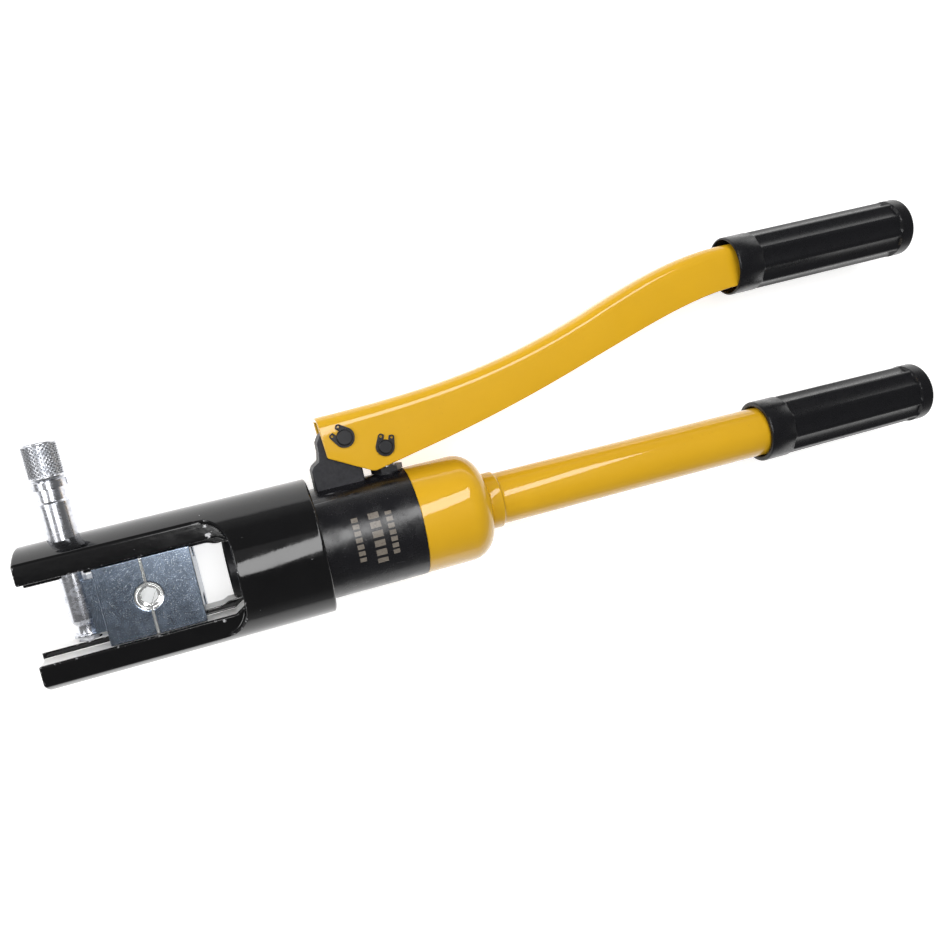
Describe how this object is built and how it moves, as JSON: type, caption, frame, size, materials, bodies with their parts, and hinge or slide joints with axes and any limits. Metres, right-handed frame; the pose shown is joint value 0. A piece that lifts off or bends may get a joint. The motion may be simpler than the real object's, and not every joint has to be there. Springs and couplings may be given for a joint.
{
  "type": "hydraulic crimping tool",
  "caption": "Hand-pumped hydraulic tool that squeezes a cable lug between two hexagonal dies held in an open fork by a pull-out latch pin.",
  "frame": {"origin": "on the cylinder axis, at the rear shoulder of the round head", "axes": "+X back along the cylinder axis towards the handles, +Y across it in the plane of the two handles towards the pump lever and the latch knob, +Z square to that plane"},
  "size_m": [0.4985, 0.1462, 0.068],
  "materials": {
    "head_enamel": "gloss black enamel, worn to bare steel along the slot edges",
    "body_enamel": "satin black enamel",
    "yellow_paint": "gloss yellow powder coat",
    "zinc_steel": "zinc-plated steel",
    "chrome_pin": "bright plated steel",
    "dark_steel": "blackened steel",
    "cast_steel": "blackened cast steel",
    "ground_steel": "ground steel",
    "spring_steel": "spring wire",
    "brass": "turned brass",
    "rubber": "black rubber",
    "nylon": "natural nylon",
    "grip_plastic": "black plastic with a light sheen"
  },
  "bodies": {
    "pump_unit": {"fork_head": "head_enamel", "fixed_die": "zinc_steel", "detent_ball": "ground_steel", "detent_spring": "spring_steel", "detent_screw": "dark_steel", "pump_body": "body_enamel", "ram_wiper": "rubber", "return_spring": "spring_steel", "head_o_ring": "rubber", "plunger_gland": "dark_steel", "plunger_seal": "rubber", "inlet_spring": "spring_steel", "inlet_seat": "brass", "outlet_spring": "spring_steel", "outlet_retainer": "brass", "relief_spring": "spring_steel", "relief_screw": "brass", "reservoir_cap": "yellow_paint", "cap_o_ring": "rubber", "oil_bladder": "rubber", "spindle_seal": "rubber", "fulcrum_bracket": "cast_steel"},
    "moving_die": {"moving_die": "zinc_steel"},
    "ram": {"ram": "dark_steel", "ram_seal": "rubber", "ram_guide_ring": "nylon"},
    "latch": {"latch_pin": "chrome_pin", "latch_collar": "chrome_pin", "latch_knob": "chrome_pin"},
    "lever": {"lever_channel": "yellow_paint", "lever_grip": "grip_plastic", "fulcrum_pin": "dark_steel", "fulcrum_clips": "dark_steel", "wrist_pin": "dark_steel", "wrist_clips": "dark_steel"},
    "plunger": {"pump_plunger": "ground_steel"},
    "handle": {"release_spindle": "ground_steel", "handle_collar": "yellow_paint", "handle_tube": "yellow_paint", "fixed_grip": "grip_plastic"},
    "inlet_valve": {"inlet_ball": "ground_steel"},
    "outlet_valve": {"outlet_ball": "ground_steel"},
    "relief_valve": {"relief_ball": "ground_steel"}
  },
  "joints": [
    {"name": "lever_hinge", "type": "hinge", "parent": "pump_unit", "child": "lever", "pos_m": [0.0227, 0.0503, 0], "axis": [0, 0, 1], "range_deg": [-10, 25]},
    {"name": "plunger_slide", "type": "slide", "parent": "pump_unit", "child": "plunger", "axis": [0, 1, 0], "range_m": [-0.0036, 0.0087]},
    {"name": "ram_slide", "type": "slide", "parent": "pump_unit", "child": "ram", "axis": [1, 0, 0], "range_m": [-0.0134, 0], "stiffness_N_per_m": 1500, "springref_m": 0.006, "deforming": ["return_spring"]},
    {"name": "die_slide", "type": "slide", "parent": "pump_unit", "child": "moving_die", "axis": [1, 0, 0], "range_m": [0, 0.0134]},
    {"name": "latch_pull", "type": "slide", "parent": "pump_unit", "child": "latch", "axis": [0, 1, 0], "range_m": [0, 0.052]},
    {"name": "release_turn", "type": "hinge", "parent": "pump_unit", "child": "handle", "pos_m": [0.09, 0, 0], "axis": [1, 0, 0], "range_deg": [0, 90]},
    {"name": "inlet_lift", "type": "slide", "parent": "pump_unit", "child": "inlet_valve", "axis": [-1, 0, 0], "range_m": [0, 0.0006], "stiffness_N_per_m": 50, "springref_m": -0.004, "deforming": ["inlet_spring"]},
    {"name": "outlet_lift", "type": "slide", "parent": "pump_unit", "child": "outlet_valve", "axis": [-1, 0, 0], "range_m": [0, 0.0006], "stiffness_N_per_m": 50, "springref_m": -0.004, "deforming": ["outlet_spring"]},
    {"name": "relief_lift", "type": "slide", "parent": "pump_unit", "child": "relief_valve", "axis": [1, 0, 0], "range_m": [0, 0.0006], "stiffness_N_per_m": 50, "springref_m": -0.004, "deforming": ["relief_spring"]}
  ],
  "couplings": [
    {"joint": "plunger_slide", "follows": "lever_hinge", "m_per_rad": 0.0194}
  ]
}
